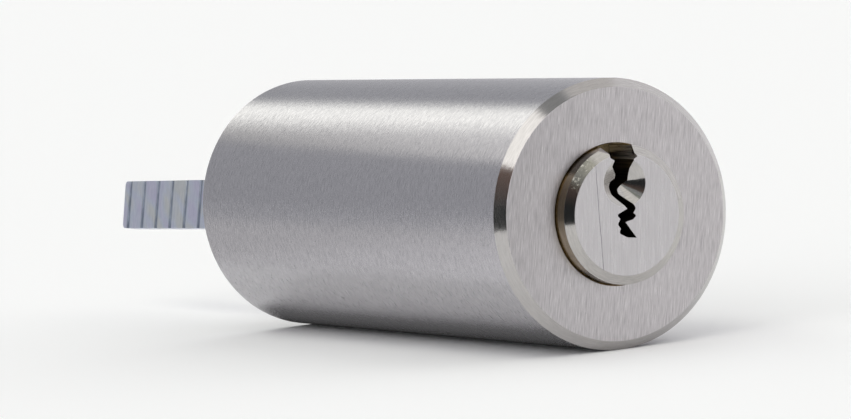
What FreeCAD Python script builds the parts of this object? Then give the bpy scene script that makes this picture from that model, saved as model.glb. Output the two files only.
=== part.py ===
"""Rim lock cylinder: a round pin-tumbler cylinder with a snap-off tail bar.

Millimetres. The origin is the centre of the rear mounting face. +Y runs from the key face to the tail,
+Z is up, towards the open top of the keyway, where the pins stand.
"""
import FreeCAD, Part
import math
import os

from FreeCAD import Vector

# Body
body_diameter = 29.0
body_length = 69.0
body_chamfer = 1.0
turning_fit = 0.05
axial_play = 0.1
press_gap = 0.01

# Plug: a wide head that stands proud of the face, and a narrower barrel behind it
head_diameter = 14.9
head_proud = 2.2
head_chamfer_width = 1.0
head_chamfer_depth = 0.55
head_seat_depth = 3.0
barrel_diameter = 13.0
bore_edge_break = 0.15

# Countersink that leads the key into the keyway, cut with the tip of a drill
countersink_diameter = 5.2
countersink_height = 3.4
countersink_angle = 120.0

# Keyway section as x, z and corner radius, down the left side and up the right side
keyway_corners = (
    (-1.55, 6.14, 0.1),
    (-1.04, 5.84, 0.1),
    (-1.26, 5.20, 0.3),
    (-0.56, 4.34, 0.1),
    (-0.54, 3.88, 0.1),
    (-1.36, 3.60, 0.2),
    (-1.74, 3.10, 0.4),
    (-1.52, 2.26, 0.6),
    (-0.24, 1.04, 0.4),
    (0.06, 0.60, 0.0),
    (-1.28, 0.08, 0.2),
    (-0.88, -0.38, 0.1),
    (-1.24, -0.93, 0.25),
    (-0.90, -1.43, 0.1),
    (-1.18, -1.88, 0.3),
    (-0.10, -2.44, 0.4),
    (0.98, -2.55, 0.0),
    (0.30, -1.60, 0.4),
    (-0.27, -0.78, 0.0),
    (0.70, -0.58, 0.5),
    (1.14, -0.22, 0.15),
    (0.80, 0.12, 0.0),
    (1.18, 0.58, 0.35),
    (0.86, 1.08, 0.3),
    (-0.42, 2.24, 0.3),
    (-0.38, 2.68, 0.2),
    (0.94, 3.54, 0.2),
    (1.02, 4.80, 0.4),
    (1.33, 5.62, 0.1),
    (1.36, 5.78, 0.05),
    (1.83, 6.04, 0.0),
    (1.52, 6.40, 0.05),
)

# Relief on the left of the keyway's open top: a flat that falls towards the keyway and rises to the back
relief_height = 6.15
relief_rise = 22.0
relief_tilt = 12.7

# Pin stacks: the code gives each key cut, in steps below the uncut blade
pin_diameter = 3.0
pin_fit = 0.05
pin_pitch = 3.9
first_pin_setback = 8.5
blade_top_inset = 0.55
cut_step = 0.5
key_code = (3, 5, 2, 6, 4, 2)
chamber_floor_gap = 0.55
shear_gap = 0.05
driver_chamfer = 0.3
key_pin_tip_diameter = 1.0

# Springs and the caps that close the chambers
spring_wire = 0.25
spring_outer_diameter = 2.7
spring_turns = 4
spring_seat_gap = 0.05
spring_pressed_length = 1.35
cap_diameter = 3.8
cap_thickness = 1.0

# Hardened pins against drilling
housing_drill_pin_diameter = 2.5
housing_drill_pin_offset = 9.3
housing_drill_pin_top = 5.0
housing_drill_pin_setback = 5.5
plug_drill_pin_diameter = 1.6
plug_drill_pin_offset = 4.2
plug_drill_pin_top = 2.9
plug_drill_pin_setback = 5.2

# Plug's rear end and its circlip
bore_land_behind_pins = 3.0
circlip_thickness = 1.0
circlip_groove_depth = 0.9
circlip_opening = 70.0
plug_end_behind_circlip = 4.9
bore_shoulder_width = 0.95
circlip_side_gap = 0.4

# Coupling between plug and shaft, with the play that lets the tail stand at a slant
tongue_width = 2.5
tongue_length = 3.0
coupling_play = 10.0
coupling_gap = 0.2

# Drive shaft and its bush
flange_thickness = 3.8
shaft_diameter = 10.0
journal_diameter = 8.0
shaft_end_inset = 0.5
bush_length = 4.7
rear_ring_thickness = 1.0
rear_ring_inset = 1.25
rear_ring_bite = 0.5
rear_ring_width = 1.7
rear_ring_opening = 50.0
rear_ring_lug = 1.2
rear_ring_eye = 0.5

# Tail bar
tail_width = 6.0
tail_thickness = 2.0
tail_projection = 49.3
tail_root_behind_pin = 3.5
tail_corner_radius = 0.6
tail_droop = 1.35
tail_side_gap = 0.1
tail_pin_diameter = 2.5
tail_pin_inset = 10.0
notch_pitch = 4.0
notch_count = 10
notch_end_distance = 1.6
notch_width = 0.6
notch_depth = 0.28

# Tapped holes for the fixing screws
screw_core_diameter = 4.2
screw_hole_depth = 16.0
screw_spacing = 22.0
screw_mouth_chamfer = 0.4

# Sizes that follow from the ones above
body_radius = body_diameter / 2
head_radius = head_diameter / 2
barrel_radius = barrel_diameter / 2
pin_radius = pin_diameter / 2
chamber_radius = pin_radius + pin_fit
cap_radius = cap_diameter / 2
bore_radius = barrel_radius + turning_fit
head_bore_radius = head_radius + turning_fit
rear_bore_radius = bore_radius + bore_shoulder_width
front_y = -body_length
plug_face_y = front_y - head_proud
head_seat_y = front_y + head_seat_depth
pin_places = [front_y + first_pin_setback + pin_pitch * i for i in range(len(key_code))]
bore_shoulder_y = pin_places[-1] + bore_land_behind_pins
circlip_y = bore_shoulder_y + axial_play
plug_end_y = circlip_y + circlip_thickness + plug_end_behind_circlip
groove_radius = barrel_radius - circlip_groove_depth
circlip_radius = rear_bore_radius - circlip_side_gap
shear_height = barrel_radius - shear_gap
driver_bottom = bore_radius + shear_gap
cap_seat_height = body_radius - cap_thickness
blade_top_height = barrel_radius - blade_top_inset
chamber_floor_height = blade_top_height - cut_step * max(key_code) - chamber_floor_gap
driver_top_limit = cap_seat_height - spring_pressed_length
tongue_tip_y = plug_end_y - tongue_length + coupling_gap
flange_front_y = plug_end_y + coupling_gap
flange_rear_y = flange_front_y + flange_thickness
ring_rear_y = -rear_ring_inset
ring_front_y = ring_rear_y - rear_ring_thickness
bush_rear_y = ring_front_y - press_gap
bush_front_y = bush_rear_y - bush_length
journal_front_y = bush_front_y - axial_play
shaft_end_y = -shaft_end_inset
tail_pin_y = -tail_pin_inset
tail_root_y = tail_pin_y - tail_root_behind_pin

UP = Vector(0, 0, 1)
REAR = Vector(0, 1, 0)
CENTRE = Vector(0, 0, 0)
overrun = 1.0


def rod(radius, start_y, end_y):
    """A round bar on the cylinder's axis."""
    return Part.makeCylinder(radius, end_y - start_y, Vector(0, start_y, 0), REAR)


def upright(radius, x, y, low, high):
    """A round bar that stands along Z."""
    return Part.makeCylinder(radius, high - low, Vector(x, y, low), UP)


def block(x_low, x_high, y_low, y_high, z_low, z_high):
    return Part.makeBox(x_high - x_low, y_high - y_low, z_high - z_low, Vector(x_low, y_low, z_low))


def turned(profile):
    """A solid of revolution about the axis, from its radius and y at each corner."""
    outline = [Vector(radius, y, 0) for radius, y in profile]
    face = Part.Face(Part.makePolygon(outline + outline[:1]))
    return face.revolve(CENTRE, REAR, 360)


def rounded_wire(corners):
    """A closed outline in the XZ plane whose corners are rounded to their own radii."""
    points = [Vector(x, 0, z) for x, z, radius in corners]
    ends = []
    for i, (x, z, radius) in enumerate(corners):
        corner = points[i]
        to_last = (points[i - 1] - corner).normalize()
        to_next = (points[(i + 1) % len(points)] - corner).normalize()
        half_angle = to_last.getAngle(to_next) / 2
        setback = radius / math.tan(half_angle)
        inward = (to_last + to_next).normalize()
        middle = corner + inward * (radius / math.sin(half_angle) - radius)
        ends.append((corner + to_last * setback, middle, corner + to_next * setback, radius))
    edges = []
    for i, (start, middle, end, radius) in enumerate(ends):
        if radius:
            edges.append(Part.Arc(start, middle, end).toShape())
        edges.append(Part.makeLine(end, ends[(i + 1) % len(ends)][0]))
    return Part.Wire(edges)


def save(name, shape):
    shape.exportStep("parts/%s.step" % name)


def housing():
    body = turned((
        (0, front_y),
        (body_radius - body_chamfer, front_y),
        (body_radius, front_y + body_chamfer),
        (body_radius, 0),
        (0, 0),
    ))
    bore = turned((
        (0, front_y - overrun),
        (head_bore_radius + bore_edge_break + overrun, front_y - overrun),
        (head_bore_radius, front_y + bore_edge_break),
        (head_bore_radius, head_seat_y),
        (bore_radius, head_seat_y),
        (bore_radius, bore_shoulder_y),
        (rear_bore_radius, bore_shoulder_y),
        (rear_bore_radius, overrun),
        (0, overrun),
    ))
    ring_groove = rod(rear_bore_radius + rear_ring_bite, ring_front_y - press_gap, ring_rear_y + press_gap)
    cuts = [bore, ring_groove]
    for y in pin_places:
        cuts.append(upright(chamber_radius, 0, y, 0, body_radius))
        cuts.append(upright(cap_radius + press_gap, 0, y, cap_seat_height, body_radius + overrun))
    for side in (-1, 1):
        cuts.append(upright(
            housing_drill_pin_diameter / 2 + press_gap,
            side * housing_drill_pin_offset,
            front_y + housing_drill_pin_setback,
            -body_radius,
            housing_drill_pin_top + press_gap,
        ))
        hole = rod(screw_core_diameter / 2, -screw_hole_depth, overrun)
        mouth = Part.makeCone(
            screw_core_diameter / 2,
            screw_core_diameter / 2 + screw_mouth_chamfer,
            screw_mouth_chamfer,
            Vector(0, -screw_mouth_chamfer, 0),
            REAR,
        )
        for cut in (hole, mouth):
            cut.translate(Vector(side * screw_spacing / 2, 0, 0))
            cuts.append(cut)
    return body.cut(cuts)


def flush_with_body(shape):
    """Turns a pressed-in piece off at the body's own surface."""
    return shape.common(rod(body_radius, front_y, 0))


def chamber_caps():
    caps = [upright(cap_radius, 0, y, cap_seat_height, body_radius) for y in pin_places]
    return Part.makeCompound([flush_with_body(cap) for cap in caps])


def housing_drill_pins():
    pins = []
    for side in (-1, 1):
        pins.append(upright(
            housing_drill_pin_diameter / 2,
            side * housing_drill_pin_offset,
            front_y + housing_drill_pin_setback,
            -body_radius,
            housing_drill_pin_top,
        ))
    return Part.makeCompound([flush_with_body(pin) for pin in pins])


def plug():
    core = turned((
        (0, plug_face_y),
        (head_radius - head_chamfer_width, plug_face_y),
        (head_radius, plug_face_y + head_chamfer_depth),
        (head_radius, head_seat_y - axial_play),
        (barrel_radius, head_seat_y - axial_play),
        (barrel_radius, circlip_y),
        (groove_radius, circlip_y),
        (groove_radius, circlip_y + circlip_thickness),
        (barrel_radius, circlip_y + circlip_thickness),
        (barrel_radius, plug_end_y),
        (0, plug_end_y),
    ))
    top = head_radius + overrun
    open_top = ((keyway_corners[-1][0], top, 0.0), (keyway_corners[0][0], top, 0.0))
    keyway = Part.Face(rounded_wire(keyway_corners + open_top))
    keyway.translate(Vector(0, plug_face_y - overrun, 0))
    cone_depth = countersink_diameter / 2 / math.tan(math.radians(countersink_angle / 2))
    countersink = Part.makeCone(
        countersink_diameter / 2,
        0,
        cone_depth,
        Vector(0, plug_face_y, countersink_height),
        REAR,
    )
    relief_run = (head_radius - relief_height) / math.tan(math.radians(relief_rise)) + overrun
    relief_side = relief_height + head_radius * math.tan(math.radians(relief_tilt))
    relief_edge = ((-head_radius, relief_side, 0.0), (0, relief_height, 0.0), (0, top, 0.0), (-head_radius, top, 0.0))
    rearward = Vector(0, 1, math.tan(math.radians(relief_rise)))
    relief = Part.Face(rounded_wire(relief_edge))
    relief.translate(Vector(0, plug_face_y, 0) - rearward * overrun)
    slot_half = (
        (barrel_radius + turning_fit) * math.sin(math.radians(coupling_play))
        + tongue_width / 2 * math.cos(math.radians(coupling_play))
    )
    slot = block(
        -slot_half,
        slot_half,
        plug_end_y - tongue_length,
        plug_end_y + overrun,
        -barrel_radius - overrun,
        barrel_radius + overrun,
    )
    cuts = [
        keyway.extrude(REAR * (plug_end_y - plug_face_y + 2 * overrun)),
        relief.extrude(rearward * relief_run),
        countersink,
        slot,
    ]
    cuts += [upright(chamber_radius, 0, y, chamber_floor_height, top) for y in pin_places]
    for side in (-1, 1):
        cuts.append(upright(
            plug_drill_pin_diameter / 2 + press_gap,
            side * plug_drill_pin_offset,
            front_y + plug_drill_pin_setback,
            -barrel_radius,
            plug_drill_pin_top + press_gap,
        ))
    return core.cut(cuts)


def plug_drill_pins():
    pins = []
    for side in (-1, 1):
        pin = upright(
            plug_drill_pin_diameter / 2,
            side * plug_drill_pin_offset,
            front_y + plug_drill_pin_setback,
            -barrel_radius,
            plug_drill_pin_top,
        )
        pins.append(pin.common(rod(barrel_radius, front_y, 0)))
    return Part.makeCompound(pins)


def wedge(angle, reach, low_y, high_y):
    """A wedge about the axis that opens downwards, to cut the gap in a ring."""
    half = math.radians(angle / 2)
    corners = (
        Vector(0, low_y, 0),
        Vector(reach * math.sin(half), low_y, -reach * math.cos(half)),
        Vector(-reach * math.sin(half), low_y, -reach * math.cos(half)),
    )
    face = Part.Face(Part.makePolygon(corners + corners[:1]))
    return face.extrude(REAR * (high_y - low_y))


def plug_circlip():
    ring = rod(circlip_radius, circlip_y, circlip_y + circlip_thickness)
    hole = rod(groove_radius + press_gap, circlip_y, circlip_y + circlip_thickness)
    gap = wedge(circlip_opening, body_radius, circlip_y, circlip_y + circlip_thickness)
    return ring.cut([hole, gap])


def key_pin(cut_height, y):
    """A round pin with a crowned top that stays inside the plug, and a pointed tip on the key's cut."""
    tip_radius = key_pin_tip_diameter / 2
    shank = upright(pin_radius, 0, y, cut_height + pin_radius - tip_radius, shear_height)
    tip = Part.makeCone(tip_radius, pin_radius, pin_radius - tip_radius, Vector(0, y, cut_height), UP)
    crown = Part.makeSphere(shear_height, Vector(0, y, 0))
    return shank.fuse(tip).removeSplitter().common(crown)


def driver_pin(top, y):
    pin = upright(pin_radius, 0, y, driver_bottom, top)
    return pin.makeChamfer(driver_chamfer, [edge for edge in pin.Edges if len(edge.Vertexes) == 1])


def driver_spring(seat_height, y):
    """A coil spring between the driver pin and the chamber's cap, wound turn by turn."""
    coil_radius = (spring_outer_diameter - spring_wire) / 2
    low = seat_height + spring_seat_gap + spring_wire / 2
    high = cap_seat_height - spring_seat_gap - spring_wire / 2
    pitch = (high - low) / spring_turns
    turn = Part.makeHelix(pitch, pitch, coil_radius).Edges[0]
    path = Part.Wire([turn.translated(UP * pitch * i) for i in range(spring_turns)])
    section = Part.Wire(Part.makeCircle(spring_wire / 2, Vector(coil_radius, 0, 0), REAR))
    coil = path.makePipeShell([section], True, True)
    coil.translate(Vector(0, y, low))
    return coil


def drive_shaft():
    """Shaft with a front tongue in the plug's slot, a rear journal and the slot that holds the tail bar."""
    shaft = turned((
        (0, flange_front_y),
        (rear_bore_radius - turning_fit, flange_front_y),
        (rear_bore_radius - turning_fit, flange_rear_y),
        (shaft_diameter / 2, flange_rear_y),
        (shaft_diameter / 2, journal_front_y),
        (journal_diameter / 2, journal_front_y),
        (journal_diameter / 2, shaft_end_y),
        (0, shaft_end_y),
    ))
    tongue = block(
        -tongue_width / 2,
        tongue_width / 2,
        tongue_tip_y,
        flange_front_y + overrun,
        -barrel_radius,
        barrel_radius,
    ).common(rod(barrel_radius, tongue_tip_y, flange_front_y + overrun))
    slot_half_width = tail_thickness / 2 + tail_side_gap
    mouth_reach = shaft_end_y - tail_pin_y
    slot_half_height = tail_width / 2 + mouth_reach * math.sin(math.radians(tail_droop)) + tail_side_gap
    tail_slot = block(
        -slot_half_width,
        slot_half_width,
        tail_root_y - coupling_gap,
        shaft_end_y + overrun,
        -slot_half_height,
        slot_half_height,
    )
    return shaft.fuse(tongue).removeSplitter().cut([tail_slot, cross_rod(tail_pin_diameter / 2 + press_gap)])


def cross_rod(radius):
    """A bar through the shaft, square to the tail bar's flat sides."""
    reach = shaft_diameter / 2
    return Part.makeCylinder(radius, 2 * reach, Vector(-reach, tail_pin_y, 0), Vector(1, 0, 0))


def tail_pin():
    return cross_rod(tail_pin_diameter / 2).common(rod(shaft_diameter / 2, tail_root_y, shaft_end_y))


def guide_bush():
    bush = rod(rear_bore_radius - press_gap, bush_front_y, bush_rear_y)
    return bush.cut(rod(journal_diameter / 2 + turning_fit, bush_front_y, bush_rear_y))


def rear_circlip():
    """Inside ring with two eyes for the pliers, sprung into the bore's groove."""
    outer = rear_bore_radius + rear_ring_bite - press_gap
    inner = outer - rear_ring_width
    ring = rod(outer, ring_front_y, ring_rear_y).cut(rod(inner, ring_front_y, ring_rear_y))
    ring = ring.cut(wedge(rear_ring_opening, body_radius, ring_front_y, ring_rear_y))
    eye_radius = inner + rear_ring_width - rear_ring_lug
    holes = []
    for side in (-1, 1):
        angle = math.radians(side * (rear_ring_opening / 2 + math.degrees(rear_ring_lug / eye_radius)))
        lug = rod(rear_ring_lug, ring_front_y, ring_rear_y)
        eye = rod(rear_ring_eye, ring_front_y, ring_rear_y)
        place = Vector(eye_radius * math.sin(angle), 0, -eye_radius * math.cos(angle))
        lug.translate(place)
        eye.translate(place)
        ring = ring.fuse(lug)
        holes.append(eye)
    return ring.removeSplitter().cut(holes)


def tail_bar():
    """Flat bar with V-shaped score lines on both sides, where it is snapped to length."""
    bar = block(
        -tail_thickness / 2,
        tail_thickness / 2,
        tail_root_y,
        tail_projection,
        -tail_width / 2,
        tail_width / 2,
    )
    corner_edges = []
    for edge in bar.Edges:
        along_x = abs(edge.tangentAt(0).x) > 0.5
        if along_x and edge.CenterOfMass.y > 0:
            corner_edges.append(edge)
    bar = bar.makeFillet(tail_corner_radius, corner_edges)
    cuts = [cross_rod(tail_pin_diameter / 2 + turning_fit)]
    for i in range(notch_count):
        y = tail_projection - notch_end_distance - notch_pitch * i
        for side in (-1, 1):
            surface = side * tail_thickness / 2
            corners = (
                Vector(surface - side * notch_depth, y, 0),
                Vector(surface + side * notch_depth, y - notch_width, 0),
                Vector(surface + side * notch_depth, y + notch_width, 0),
            )
            groove = Part.Face(Part.makePolygon(corners + corners[:1])).extrude(UP * tail_width)
            groove.translate(UP * (-tail_width / 2))
            cuts.append(groove)
    return bar.cut(cuts)


def at_rest(shape, droop=0.0):
    """Turns a piece of the shaft to the end of the coupling's play, as it lies at rest."""
    shape.rotate(Vector(0, tail_pin_y, 0), Vector(1, 0, 0), -droop)
    shape.rotate(CENTRE, REAR, coupling_play)
    return shape


os.makedirs("parts", exist_ok=True)
save("housing", housing())
save("chamber_caps", chamber_caps())
save("housing_drill_pins", housing_drill_pins())
save("plug", plug())
save("plug_drill_pins", plug_drill_pins())
save("plug_circlip", plug_circlip())
for number, (cut, pin_y) in enumerate(zip(key_code, pin_places), 1):
    cut_depth = cut * cut_step
    driver_top = driver_top_limit - cut_depth
    save("key_pin_%d" % number, key_pin(blade_top_height - cut_depth, pin_y))
    save("driver_pin_%d" % number, driver_pin(driver_top, pin_y))
    save("driver_spring_%d" % number, driver_spring(driver_top, pin_y))
save("drive_shaft", at_rest(drive_shaft()))
save("tail_pin", at_rest(tail_pin()))
save("guide_bush", guide_bush())
save("rear_circlip", rear_circlip())
save("tail_bar", at_rest(tail_bar(), tail_droop))
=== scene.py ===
import math
import bmesh
import bpy
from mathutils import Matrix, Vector


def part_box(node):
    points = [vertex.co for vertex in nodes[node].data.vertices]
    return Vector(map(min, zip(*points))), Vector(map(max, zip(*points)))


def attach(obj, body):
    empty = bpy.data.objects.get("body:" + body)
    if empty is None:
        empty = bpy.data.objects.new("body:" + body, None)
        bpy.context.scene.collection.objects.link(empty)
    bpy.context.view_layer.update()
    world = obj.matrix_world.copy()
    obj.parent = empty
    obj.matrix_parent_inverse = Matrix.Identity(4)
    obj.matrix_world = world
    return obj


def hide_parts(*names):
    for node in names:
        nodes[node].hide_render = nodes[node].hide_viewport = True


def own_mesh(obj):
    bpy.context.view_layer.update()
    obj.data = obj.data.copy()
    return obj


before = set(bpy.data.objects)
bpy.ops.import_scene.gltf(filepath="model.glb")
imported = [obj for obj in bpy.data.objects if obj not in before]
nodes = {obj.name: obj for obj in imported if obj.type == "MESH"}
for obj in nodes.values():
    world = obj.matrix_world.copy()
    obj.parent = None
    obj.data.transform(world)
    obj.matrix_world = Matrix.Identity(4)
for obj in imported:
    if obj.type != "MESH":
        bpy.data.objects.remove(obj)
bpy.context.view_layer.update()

# ----------------------------------------------------------------------------------------------------------------
# Housing: the round body, turned from brass bar and nickel plated. Its barrel is brushed round the girth on the
# lathe, its key face straight up and down on a belt, and the edge between them is a bright turned chamfer.

mm = 0.001
body_radius = 14.5 * mm
body_front = -69.0 * mm
body_chamfer = 1.0 * mm
wall_reach = 13.4 * mm
hair = 0.02 * mm
belt_lean = math.radians(9.7)
crown_per_metre = -7.5


def linear(colour):
    """An sRGB hex colour as the linear one that shaders take."""
    shares = [int(colour[i:i + 2], 16) / 255 for i in (0, 2, 4)]
    return [c / 12.92 if c <= 0.04045 else ((c + 0.055) / 1.055) ** 2.4 for c in shares] + [1.0]


def add(tree, kind, feeds, **settings):
    """Adds a node with its settings. Each feed is a socket's value, or the node or output that it is linked to."""
    made = tree.nodes.new("ShaderNode" + kind)
    for name, value in settings.items():
        setattr(made, name, value)
    for socket, value in feeds.items():
        if isinstance(value, bpy.types.Node):
            value = value.outputs[0]
        if isinstance(value, bpy.types.NodeSocket):
            tree.links.new(value, made.inputs[socket])
        else:
            made.inputs[socket].default_value = value
    return made


def maths(tree, operation, *values):
    """One step with numbers."""
    return add(tree, "Math", dict(enumerate(values)), operation=operation).outputs[0]


def vectors(tree, operation, *values):
    """One step with vectors. A length, a distance and a dot product come out as numbers."""
    made = add(tree, "VectorMath", dict(enumerate(values)), operation=operation)
    return made.outputs["Value" if operation in ("LENGTH", "DISTANCE", "DOT_PRODUCT") else "Vector"]


def ramp(tree, value, start, end, low=0.0, high=1.0, **settings):
    """A number that goes from low to high as the value goes from start to end."""
    feeds = {"Value": value, "From Min": start, "From Max": end, "To Min": low, "To Max": high}
    return add(tree, "MapRange", feeds, **settings).outputs[0]


def share(tree, vector, letter):
    """A vector's X, Y or Z."""
    return add(tree, "SeparateXYZ", {"Vector": vector}).outputs[letter]


def from_axis(tree, place):
    """The way out from the cylinder's axis to a place, and how far that is."""
    across = vectors(tree, "MULTIPLY", place, (1, 0, 1))
    return across, vectors(tree, "LENGTH", across)


def new_material(name):
    """A material with an empty node tree, and the place on the piece that its patterns are drawn from."""
    material = bpy.data.materials.new(name)
    material.use_nodes = True
    material.node_tree.nodes.clear()
    return material, material.node_tree, add(material.node_tree, "TexCoord", {}).outputs["Object"]


def wear(material, surface, *pieces):
    """Closes a material with its surface and puts it on CAD nodes."""
    add(material.node_tree, "OutputMaterial", {"Surface": surface})
    for piece in pieces:
        nodes[piece].material_slots[0].material = material


def metal(tree, place, colours, roughness, grain, depth, stretch=0.0, along=None, lean=0.0, form=None):
    """A metal finish with tool marks: their size along X, Y and Z and their depth are in millimetres, and the
    glint is drawn out across them. The two colours are those of the marks' floors and crests. The marks lie on a
    form, where one is given."""
    aligned = add(tree, "Mapping", {"Vector": place, "Rotation": (0, lean, 0), "Scale": [g * mm for g in grain]},
                  vector_type="TEXTURE")
    marks = add(tree, "TexNoise", {"Vector": aligned, "Scale": 1.0, "Detail": 3.0, "Roughness": 0.6})
    tint = add(tree, "MixRGB", {"Fac": ramp(tree, marks, 0.3, 0.7),
                                "Color1": linear(colours[0]), "Color2": linear(colours[1])})
    dull = ramp(tree, marks, 0.3, 0.7, roughness * 1.2, roughness * 0.8)
    relief = add(tree, "Bump", {"Strength": 1.0, "Distance": depth * mm, "Height": marks})
    if form is not None:
        tree.links.new(form.outputs[0], relief.inputs["Normal"])
    feeds = {"Base Color": tint, "Metallic": 1.0, "Roughness": dull, "Normal": relief, "Anisotropic": stretch}
    if along is not None:
        feeds["Tangent"] = along
    return add(tree, "BsdfPrincipled", feeds)


def layered(tree, base, *layers):
    """Lays finishes over a base, each where its mask says."""
    for mask, finish in layers:
        base = add(tree, "MixShader", {0: mask, 1: base, 2: finish})
    return base


satin_nickel, tree, place = new_material("satin brushed nickel plate")
height = share(tree, place, "Y")
across, radius = from_axis(tree, place)
axis = add(tree, "CombineXYZ", {"Y": 1.0})
level = add(tree, "CombineXYZ", {"X": 1.0})
rings = add(tree, "CombineXYZ", {"X": radius, "Y": height})

# The lathe's brushing: fine lines round the girth draw the softbox out into long bands with a sparkling edge. The
# lines are drawn coarser than real ones, which are too fine for the photograph's size.
barrel = metal(tree, place, ("a8a6ab", "c8c5c9"), 0.25, (0.75, 0.16, 0.75), 0.024, 0.7, axis)
# The belt's brushing: straight lines, coarser than the barrel's, that lean a little to the right. The belt takes
# more off at the sides, so the face is crowned there, by up to ten degrees, and shades from left to right.
sideways = share(tree, place, "X")
bulge = maths(tree, "MULTIPLY", maths(tree, "MULTIPLY", sideways, sideways), crown_per_metre)
crown = add(tree, "Bump", {"Strength": 1.0, "Distance": 1.0, "Height": bulge})
face = metal(tree, place, ("a7a3a5", "d0ccce"), 0.34, (0.08, 3.0, 1.7), 0.009, 0.7, level, belt_lean, crown)
# Deeper single lines among them, a little darker.
scored = metal(tree, place, ("8d898c", "a9a5a8"), 0.42, (0.08, 3.0, 2.4), 0.009, 0.5, level, belt_lean, crown)
strands = add(tree, "Mapping", {"Vector": place, "Rotation": (0, belt_lean, 0),
                                "Scale": (0.15 * mm, 3 * mm, 4.0 * mm)}, vector_type="TEXTURE")
score = ramp(tree, add(tree, "TexNoise", {"Vector": strands, "Scale": 1.0, "Detail": 0.0}), 0.60, 0.74, 0.0, 0.45)
face = layered(tree, face, (score, scored))
# The turned chamfer: nearly a mirror, crossed by faint feed lines.
chamfer = metal(tree, place, ("b4b1b0", "c1bebd"), 0.14, (1.2, 0.10, 1.2), 0.006, 0.5, axis)
# The bore and the holes: drilled, with thin plate, so the brass shows through.
bored = metal(tree, place, ("a08f6e", "cdbd98"), 0.42, (0.5, 0.25, 0.5), 0.006, 0.4, axis)
# The rear face: faced off on the lathe, so its marks are circles.
faced = metal(tree, rings, ("aeaba6", "c2bfba"), 0.28, (0.14, 9.0, 9.0), 0.002, 0.6, across)
on_face = maths(tree, "LESS_THAN", height, body_front + hair)
near_front = maths(tree, "LESS_THAN", height, body_front + body_chamfer)
off_face = maths(tree, "SUBTRACT", near_front, on_face)
inside = maths(tree, "LESS_THAN", radius, wall_reach)
on_rear = maths(tree, "GREATER_THAN", height, -hair)
wear(satin_nickel, layered(tree, barrel, (off_face, chamfer), (inside, bored), (on_face, face), (on_rear, faced)),
     "housing")

# ----------------------------------------------------------------------------------------------------------------
# Chamber caps: six small brass plugs, pressed into the drilled chambers and turned flush with the barrel, then
# plated and brushed with it, so only a hairline ring tells them apart.

brushed_caps, tree, place = new_material("brushed nickel plate on pressed caps")
axis = add(tree, "CombineXYZ", {"Y": 1.0})
wear(brushed_caps, metal(tree, place, ("aeabb0", "bdbabf"), 0.28, (0.9, 0.13, 0.9), 0.008, 0.7, axis),
     "chamber_caps")

# ----------------------------------------------------------------------------------------------------------------
# Drill pins: hardened steel dowels beside the bore, driven in from below and brushed flush and plated with the
# barrel. The plug has smaller ones beside its keyway, and the tail bar hangs on a cross pin of the same steel.

pin_skin = 13.9 * mm

ground_steel, tree, place = new_material("ground hardened steel")
axis = add(tree, "CombineXYZ", {"Y": 1.0})
across, radius = from_axis(tree, place)
ground = metal(tree, place, ("6f7073", "909195"), 0.25, (1.2, 0.08, 1.2), 0.001, 0.5, axis)
plated = metal(tree, place, ("b1aeb3", "bfbcc1"), 0.27, (0.9, 0.13, 0.9), 0.008, 0.7, axis)
at_skin = maths(tree, "GREATER_THAN", radius, pin_skin)
wear(ground_steel, layered(tree, ground, (at_skin, plated)), "housing_drill_pins", "plug_drill_pins", "tail_pin")

# ----------------------------------------------------------------------------------------------------------------
# Plug: the round core that the key turns, turned from brass and nickel plated. It stands proud of the face, with
# a bright chamfer, a broached keyway open at the top, and a countersink that guides the key's tip.

plug_front = -71.2 * mm
plug_chamfer_end = -70.6 * mm
plug_flat = 6.45 * mm
plug_skin = 7.4 * mm
sink_height = 3.4 * mm
sink_radius = 2.6 * mm
sink_slope = 1.732
sink_hair = 0.06 * mm
mouth_floor = 5.75 * mm
relief_slant = (0.22536, -0.40403, 1.0)
relief_height = 34.917 * mm
chatter_way = (0.79, 0, -0.61)
blow_place = (-4.95 * mm, -70.9 * mm, 4.85 * mm)
high_band_way = (-0.60, 0, 0.80)
low_band_way = (-0.50, 0, -0.87)
scratch_side = -3.28 * mm
scratch_half = 0.035 * mm
scratch_stray = 0.25 * mm

plug_nickel, tree, place = new_material("fine brushed nickel plate on the plug")
height = share(tree, place, "Y")
across, radius = from_axis(tree, place)
axis = add(tree, "CombineXYZ", {"Y": 1.0})
level = add(tree, "VectorTransform", {"Vector": add(tree, "CombineXYZ", {"X": 1.0})},
            vector_type="VECTOR", convert_from="OBJECT", convert_to="WORLD")

# The keyway's walls: broached through the brass, so they show fine lines from front to back. Above a set height
# the walls are painted much lighter: painted light, where light falls in through the open top, with pale glints
# along the lines.
broached = metal(tree, place, ("3a3228", "6f6454"), 0.4, (4.0, 4.0, 0.14), 0.006, 0.3, level)
painted_light_mouth = metal(tree, place, ("6d6966", "f4efea"), 0.45, (4.0, 4.0, 0.22), 0.012, 0.3, level)
in_mouth = maths(tree, "GREATER_THAN", share(tree, place, "Z"), mouth_floor)

# The relief beside the open top: milled on a slant, then plated.
milled = metal(tree, place, ("a6a29f", "c6c2bf"), 0.3, (0.1, 2.0, 2.0), 0.003, 0.5, level)
on_relief = maths(tree, "COMPARE", vectors(tree, "DOT_PRODUCT", place, relief_slant), relief_height, hair)
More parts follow.
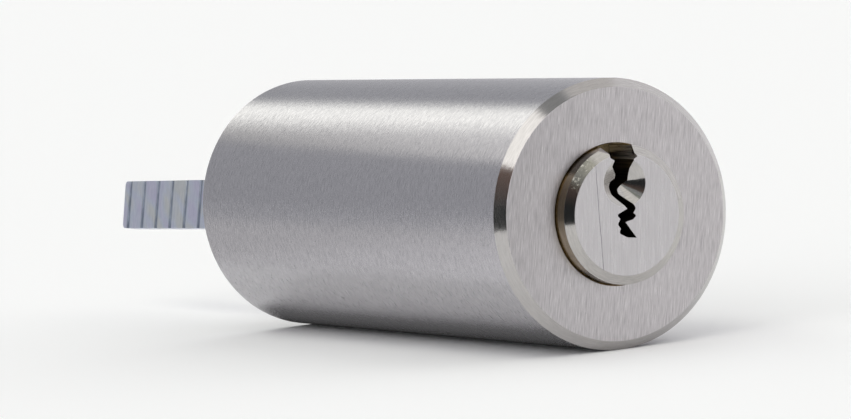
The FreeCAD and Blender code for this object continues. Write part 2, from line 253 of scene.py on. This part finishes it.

# The plug's side: turned, thinly plated, so brass warms it, darker in a narrow band high on the left and in flecks
# low on the left.
barrel = metal(tree, place, ("9c8f7a", "b8ab96"), 0.2, (3.0, 0.09, 3.0), 0.0015, 0.6, axis)
darker_skin = metal(tree, place, ("3b3732", "5d574f"), 0.3, (0.4, 0.4, 0.4), 0.004)
on_skin = maths(tree, "GREATER_THAN", radius, plug_skin)
around = vectors(tree, "NORMALIZE", across)
high_band = ramp(tree, vectors(tree, "DOT_PRODUCT", around, high_band_way), 0.965, 0.985, 0.0, 0.9)
low_band = ramp(tree, vectors(tree, "DOT_PRODUCT", around, low_band_way), 0.96, 0.99, 0.0, 0.75)
flecks = ramp(tree, add(tree, "TexNoise", {"Vector": place, "Scale": 900.0, "Detail": 2.0}), 0.40, 0.55)
dark_band = maths(tree, "MAXIMUM", maths(tree, "MULTIPLY", low_band, flecks), high_band)
on_dark_band = maths(tree, "MULTIPLY", dark_band, on_skin)

# The chamfer and the countersink: turned bright, nearly mirrors.
bright = metal(tree, place, ("aeaba9", "c0bdba"), 0.12, (1.0, 0.07, 1.0), 0.003, 0.4, axis)
at_front = maths(tree, "LESS_THAN", height, plug_chamfer_end)
on_chamfer = maths(tree, "MULTIPLY", at_front, maths(tree, "GREATER_THAN", radius, plug_flat))
from_sink = vectors(tree, "DISTANCE", across, (0, 0, sink_height))
fall = maths(tree, "MULTIPLY_ADD", height, sink_slope, from_sink)
on_cone = maths(tree, "COMPARE", fall, sink_radius + plug_front * sink_slope, sink_hair)

# Where keys strike the chamfer it is dulled, with bright nicks.
dulled = metal(tree, place, ("807f75", "a3a196"), 0.25, (0.3, 0.3, 0.3), 0.006)
nicked = metal(tree, place, ("cbc9bd", "efece2"), 0.4, (0.2, 0.2, 0.2), 0.02)
struck = ramp(tree, vectors(tree, "DISTANCE", place, blow_place), 2.3 * mm, 1.5 * mm, 0.0, 0.85)
on_blow = maths(tree, "MULTIPLY", struck, on_chamfer)
nicks = ramp(tree, add(tree, "TexNoise", {"Vector": place, "Scale": 2600.0, "Detail": 2.0}), 0.56, 0.66)
on_nick = maths(tree, "MULTIPLY", nicks, on_blow)

# The chatter of the cutter at one side of the countersink: darker streaks that run out from its middle.
chattered = metal(tree, place, ("6e716a", "8f9188"), 0.3, (0.3, 0.3, 0.3), 0.004)
spoke = vectors(tree, "NORMALIZE", vectors(tree, "SUBTRACT", across, (0, 0, sink_height)))
streaks = ramp(tree, add(tree, "TexNoise", {"Vector": spoke, "Scale": 14.0, "Detail": 1.0}), 0.42, 0.60, 0.0, 0.9)
trembled = ramp(tree, vectors(tree, "DOT_PRODUCT", spoke, chatter_way), 0.955, 0.985)
on_chatter = maths(tree, "MULTIPLY", maths(tree, "MULTIPLY", streaks, trembled), on_cone)

# The face: brushed finer than the housing's, straight up and down, with one long scratch left of the keyway.
face = metal(tree, place, ("bab7b9", "c7c4c6"), 0.3, (0.11, 3.0, 3.0), 0.002, 0.7, level, math.radians(5.1))
scratch = metal(tree, place, ("77737a", "8f8b90"), 0.45, (0.1, 1.0, 1.0), 0.002)
on_face = maths(tree, "LESS_THAN", height, plug_front + hair)
wander = add(tree, "TexNoise", {"Vector": place, "Scale": 400.0, "Detail": 2.0})
strayed = maths(tree, "MULTIPLY_ADD", wander, scratch_stray, share(tree, place, "X"))
on_line = maths(tree, "MULTIPLY", maths(tree, "COMPARE", strayed, scratch_side, scratch_half), on_face)

wear(plug_nickel, layered(tree, broached, (in_mouth, painted_light_mouth), (on_relief, milled), (on_skin, barrel),
                          (on_dark_band, darker_skin), (on_chamfer, bright), (on_blow, dulled), (on_nick, nicked),
                          (on_cone, bright), (on_chatter, chattered), (on_face, face), (on_line, scratch)),
     "plug")

# ----------------------------------------------------------------------------------------------------------------
# Key pins: turned brass pins with rounded tips, each of the length that its cut in the key asks for.

turned_brass, tree, place = new_material("turned brass")
upright = add(tree, "CombineXYZ", {"Z": 1.0})
wear(turned_brass, metal(tree, place, ("a8823f", "cfae68"), 0.25, (1.5, 1.5, 0.06), 0.0015, 0.5, upright),
     *["key_pin_%d" % i for i in range(1, 7)])

# ----------------------------------------------------------------------------------------------------------------
# Driver pins: turned nickel silver, harder and paler than the key pins that they press down.

nickel_silver, tree, place = new_material("turned nickel silver")
upright = add(tree, "CombineXYZ", {"Z": 1.0})
wear(nickel_silver, metal(tree, place, ("a8a395", "c9c4b6"), 0.25, (1.5, 1.5, 0.06), 0.0015, 0.5, upright),
     *["driver_pin_%d" % i for i in range(1, 7)])

# ----------------------------------------------------------------------------------------------------------------
# Driver springs: wound from hard drawn steel wire, smooth and grey, with the last turn at each end laid close.
# Each sits between its driver pin and its cap; the real one is pressed together as the pin rises, but this one
# keeps its length.

wire_radius = 0.125 * mm
wire_corners = 10
coil_radius = 1.22 * mm
close_pitch = 0.27 * mm
open_turns = 3
steps_a_turn = 36

drawn_wire, tree, place = new_material("hard drawn spring steel wire")
wear(drawn_wire, metal(tree, place, ("77787b", "98999c"), 0.28, (0.3, 0.3, 0.3), 0.0005))


def wound(low, high, back):
    """A spring's mesh, standing at 'back' along the axis: the wire's round section carried up the coil."""
    climb = high - low - 2 * wire_radius
    open_pitch = (climb - 2 * close_pitch) / open_turns
    mesh = bmesh.new()
    last = None
    for step in range((open_turns + 2) * steps_a_turn + 1):
        turns = step / steps_a_turn
        opened = min(max(turns - 1, 0), open_turns)
        rise = low + wire_radius + (turns - opened) * close_pitch + opened * open_pitch
        swing = math.tau * turns
        ring = []
        for corner in range(wire_corners):
            tilt = math.tau * corner / wire_corners
            reach = coil_radius + wire_radius * math.cos(tilt)
            ring.append(mesh.verts.new((reach * math.cos(swing), back + reach * math.sin(swing),
                                        rise + wire_radius * math.sin(tilt))))
        if last is None:
            mesh.faces.new(ring)
        else:
            for a, b, c, d in zip(last, last[1:] + last[:1], ring[1:] + ring[:1], ring):
                mesh.faces.new((a, b, c, d)).smooth = True
        last = ring
    mesh.faces.new(last)
    bmesh.ops.recalc_face_normals(mesh, faces=mesh.faces)
    coil = bpy.data.meshes.new("wound spring")
    mesh.to_mesh(coil)
    mesh.free()
    return coil


for i in range(1, 7):
    low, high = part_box("driver_spring_%d" % i)
    back = (low[1] + high[1]) / 2
    spring = bpy.data.objects.new("wound_spring_%d" % i, wound(low[2], high[2], back))
    bpy.context.scene.collection.objects.link(spring)
    spring.data.materials.append(drawn_wire)
    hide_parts("driver_spring_%d" % i)
    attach(spring, "housing")
    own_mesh(spring)

# ----------------------------------------------------------------------------------------------------------------
# Circlips: rings of blued spring steel, one behind the bore's shoulder and one at the back of the housing.

blued_steel, tree, place = new_material("blued spring steel strip")
wear(blued_steel, metal(tree, place, ("2f333b", "4a4f59"), 0.33, (1.2, 1.2, 1.2), 0.001),
     "plug_circlip", "rear_circlip")

# ----------------------------------------------------------------------------------------------------------------
# Drive shaft: turned steel, zinc plated, that carries the plug's turn through the long body to the tail bar.

zinc_plate, tree, place = new_material("bright zinc plate on turned steel")
axis = add(tree, "CombineXYZ", {"Y": 1.0})
wear(zinc_plate, metal(tree, place, ("b6bcc9", "ccd2df"), 0.27, (2.0, 0.12, 2.0), 0.0015, 0.5, axis),
     "drive_shaft")

# ----------------------------------------------------------------------------------------------------------------
# Guide bush: a brass ring pressed in at the back, faced on the lathe, in which the shaft turns.

bush_brass, tree, place = new_material("turned brass bush")
across, radius = from_axis(tree, place)
rings = add(tree, "CombineXYZ", {"X": radius})
wear(bush_brass, metal(tree, rings, ("a98646", "cdb071"), 0.27, (0.1, 5.0, 5.0), 0.0015, 0.4, across),
     "guide_bush")

# ----------------------------------------------------------------------------------------------------------------
# Tail bar: flat steel strip, blue-white zinc plated, with score lines rolled across it where it snaps to length.
# The scores are painted darker and duller, as painted shade in them, and the passivated zinc shimmers faintly from
# lilac to straw.

bar_end = 49.3 * mm
first_score = 1.6 * mm
score_pitch = 4.0 * mm
score_half = 0.6 * mm

zinc_strip, tree, place = new_material("blue white zinc plate on steel strip")
level = add(tree, "VectorTransform", {"Vector": add(tree, "CombineXYZ", {"Y": 1.0})},
            vector_type="VECTOR", convert_from="OBJECT", convert_to="WORLD")
rolled = metal(tree, place, ("c3c9d9", "d1d6e3"), 0.38, (1.5, 0.5, 1.5), 0.002, 0.2, level)
lilac = metal(tree, place, ("c3bcd7", "d1cbe2"), 0.38, (1.5, 0.5, 1.5), 0.002, 0.2, level)
straw = metal(tree, place, ("cbccc7", "d9d9d3"), 0.38, (1.5, 0.5, 1.5), 0.002, 0.2, level)
# Painted shade in the scores: darker and duller than the strip.
score_shade = metal(tree, place, ("727b8b", "868f9e"), 0.75, (1.5, 0.5, 1.5), 0.002)
patches = add(tree, "Mapping", {"Vector": place, "Rotation": (0.7, 0, 0),
                                "Scale": (1.8 * mm, 4.2 * mm, 1.8 * mm)}, vector_type="TEXTURE")
shimmer = add(tree, "TexNoise", {"Vector": patches, "Scale": 1.0, "Detail": 0.5})
to_lilac = ramp(tree, shimmer, 0.50, 0.32, 0.0, 0.55)
to_straw = ramp(tree, shimmer, 0.50, 0.68, 0.0, 0.65)
from_score = maths(tree, "SUBTRACT", share(tree, place, "Y"), bar_end - first_score)
wrapped = maths(tree, "PINGPONG", from_score, score_pitch / 2)
in_score = ramp(tree, wrapped, score_half, score_half * 0.25, 0.0, 0.95, interpolation_type="SMOOTHSTEP")
wear(zinc_strip, layered(tree, rolled, (to_lilac, lilac), (to_straw, straw), (in_score, score_shade)), "tail_bar")

# ----------------------------------------------------------------------------------------------------------------
# Floor: matt white card that the cylinder lies on, seen only from above.

floor_size = 12.0
floor_corners = [(x * floor_size, y * floor_size, -body_radius) for x, y in ((-1, -1), (1, -1), (1, 1), (-1, 1))]
floor_mesh = bpy.data.meshes.new("floor")
floor_mesh.from_pydata(floor_corners, [], [(0, 1, 2, 3)])
floor = bpy.data.objects.new("floor", floor_mesh)
bpy.context.scene.collection.objects.link(floor)
paper, tree, place = new_material("matt white paper")
pale = add(tree, "BsdfDiffuse", {"Color": linear("fdfdfd")})
underside = add(tree, "NewGeometry", {}).outputs["Backfacing"]
add(tree, "OutputMaterial", {"Surface": layered(tree, pale, (underside, add(tree, "BsdfTransparent", {})))})
floor_mesh.materials.append(paper)

# ----------------------------------------------------------------------------------------------------------------
# Studio light: a plain soft sky, brighter to the right, with soft bright panels that the metal reflects as long
# bands. All of it is far off, so the floor is lit evenly to the horizon.

world = bpy.data.worlds.new("soft studio")
bpy.context.scene.world = world
world.use_nodes = True
studio = world.node_tree
studio.nodes.clear()
way = add(studio, "TexCoord", {}).outputs["Generated"]
window = Vector((0.76, -0.595, 0.26)).normalized()


def edge(direction, softness):
    """How far the sky is past an edge: 0 before it, 1 past it, soft between."""
    return ramp(studio, vectors(studio, "DOT_PRODUCT", way, direction), -softness, softness,
                interpolation_type="SMOOTHSTEP")


def softbox(sky, out, rise, width, low, high, softness, glow):
    """Hangs a panel in the sky, seen towards 'out'. It runs along 'rise' from low to high degrees, and is width
    degrees to each side. Its glow is what a mirror would show of it."""
    out = Vector(out).normalized()
    side = out.cross(Vector(rise)).normalized()
    rise = side.cross(out)
    width, low, high = (math.radians(a) for a in (width, low, high))
    within = edge(out * math.sin(width) + side * math.cos(width), softness)
    for direction in (out * math.sin(width) - side * math.cos(width),
                      rise * math.cos(low) - out * math.sin(low),
                      out * math.sin(high) - rise * math.cos(high)):
        within = maths(studio, "MULTIPLY", within, edge(direction, softness))
    return add(studio, "MixRGB", {"Fac": within, "Color1": sky, "Color2": glow})


open_side = ramp(studio, vectors(studio, "DOT_PRODUCT", way, window), 0.68, 0.97, interpolation_type="SMOOTHSTEP")
sky = add(studio, "MixRGB", {"Fac": open_side, "Color1": (0.46, 0.47, 0.49, 1), "Color2": (1.22, 1.21, 1.22, 1)})
# The long softbox behind and above, for the barrel's bright band.
sky = softbox(sky, (-0.386, 0.30, 0.873), (-0.387, -0.912, 0.141), 9.9, -68, 12, 0.04, (1.70, 1.72, 1.61, 1))
# A broad one above the left front, for the chamfers' bright stretch, and one low at the left.
sky = softbox(sky, (-0.54, -0.43, 0.72), (0, 0, 1), 19, -26, 24, 0.05, (1.66, 1.65, 1.60, 1))
sky = softbox(sky, (-1, -0.16, 0.35), (0, 0, 1), 17, -17, 22, 0.05, (1.9, 1.9, 1.9, 1))
# A wide, weaker one at the right, for the chamfers' pale right half, and one above the front, for the
# countersink's lower wall.
sky = softbox(sky, (0.894, 0.24, 0.5), (0, 0, 1), 41, -30, 45, 0.08, (0.98, 0.98, 0.99, 1))
sky = softbox(sky, (0.14, -0.70, 0.70), (0, 0, 1), 16, -11, 14, 0.08, (1.02, 1.01, 0.97, 1))
# A darker gap overhead and a grey panel beside it, for the chamfers' shading at the top.
sky = softbox(sky, (-0.02, -0.28, 0.96), (0.87, 0.48, 0.14), 12, -9, 8, 0.06, (0.36, 0.37, 0.37, 1))
sky = softbox(sky, (0.33, -0.14, 0.93), (0.87, 0.48, 0.14), 9, -11, 18, 0.04, (0.80, 0.79, 0.77, 1))
below = maths(studio, "LESS_THAN", share(studio, way, "Z"), -0.001)
sky = add(studio, "MixRGB", {"Fac": below, "Color1": sky, "Color2": (0.95, 0.95, 0.95, 1)})
add(studio, "OutputWorld", {"Surface": add(studio, "Background", {"Color": sky})})

# ----------------------------------------------------------------------------------------------------------------
# Cards: they stand round the cylinder as in a photographer's studio, and only glossy rays see them. Each gives
# the polished and brushed metal one of its reflections.


def card(name, corners, surface):
    """Stands a card in the studio, its corners in millimetres, seen by the metal alone."""
    mesh = bpy.data.meshes.new(name)
    mesh.from_pydata([[c * mm for c in corner] for corner in corners], [], [list(range(len(corners)))])
    board = bpy.data.objects.new(name, mesh)
    bpy.context.scene.collection.objects.link(board)
    mesh.materials.append(surface)
    board.visible_camera = False
    board.visible_diffuse = False
    board.visible_shadow = False


def graded(name, letter, start, end, low, high, tone=(1, 1, 1, 1)):
    """A card's surface that glows from low to high between two places along X, Y or Z, in millimetres."""
    surface, tree, place = new_material(name)
    glow = ramp(tree, share(tree, place, letter), start * mm, end * mm, low, high)
    add(tree, "OutputMaterial", {"Surface": add(tree, "Emission", {"Color": tone, "Strength": glow})})
    return surface


# In front: the dark stretch of the bright chamfers.
black_card, tree, place = new_material("matt black card, browned at the top")
shade = add(tree, "MixRGB", {"Fac": ramp(tree, share(tree, place, "Z"), 18 * mm, 80 * mm),
                             "Color1": linear("323435"), "Color2": linear("7a6258")})
add(tree, "OutputMaterial", {"Surface": add(tree, "BsdfDiffuse", {"Color": shade})})
card("black_card", [(-150, -123, -14.5), (-28, -181, -14.5), (-28, -181, 58), (-150, -123, 96)], black_card)

# At the back, on the horizon: the darker band along the barrel's middle.
grey_card, tree, place = new_material("grey card")
add(tree, "OutputMaterial", {"Surface": add(tree, "Emission", {"Color": (0.47, 0.48, 0.50, 1)})})
card("grey_card", [(-82, 20, -14.5), (-78, 220, -14.5), (-78, 220, 2), (-82, 20, 2)], grey_card)

# On the floor at the left: the even grey of the barrel's lower half, brighter to the front.
card("pale_card", [(-19, -60, -14.3), (-19, 60, -14.3), (-80, 220, -14.3), (-84, 0, -14.3)],
     graded("pale grey card", "Y", 25, -50, 0.66, 0.88))

# On the floor under the barrel: painted shadow, a dark card that stands in for the floor's shade under the barrel,
# dimmest at the contact, for the barrel's dark foot.
card("floor_shadow_card", [(-0.8, -67, -14.46), (-0.8, 3.5, -14.46), (-8.6, 3.5, -14.46), (-8.6, -67, -14.46)],
     graded("painted floor shadow under the barrel", "X", -3, -8.6, 0.014, 0.22))

# Above the left: a card that glows by itself, brighter to the front, for the pale wedge under the barrel's bright
# band: a painted reflection.
card("white_card", [(-12, 57, 31), (-16.6, -70, 33.3), (-56.9, -70, 36.4), (-30, 14, 33), (-23, 57, 31.9)],
     graded("glowing white card, brighter to the front", "Y", 45, -50, 0.6, 1.15, (1, 1, 0.97, 1)))

# ----------------------------------------------------------------------------------------------------------------
# Camera: a long lens at the photograph's place, just above the face's level, to its left.

lens = bpy.data.cameras.new("camera")
lens.sensor_width = 36.0
lens.lens = 196.19
camera = bpy.data.objects.new("camera", lens)
camera.location = (-0.2565, -0.48822, 0.03484)
camera.rotation_euler = [math.radians(a) for a in (86.169, 4.420, -29.407)]
bpy.context.scene.collection.objects.link(camera)
bpy.context.scene.camera = camera
bpy.context.scene.view_settings.view_transform = "Standard"
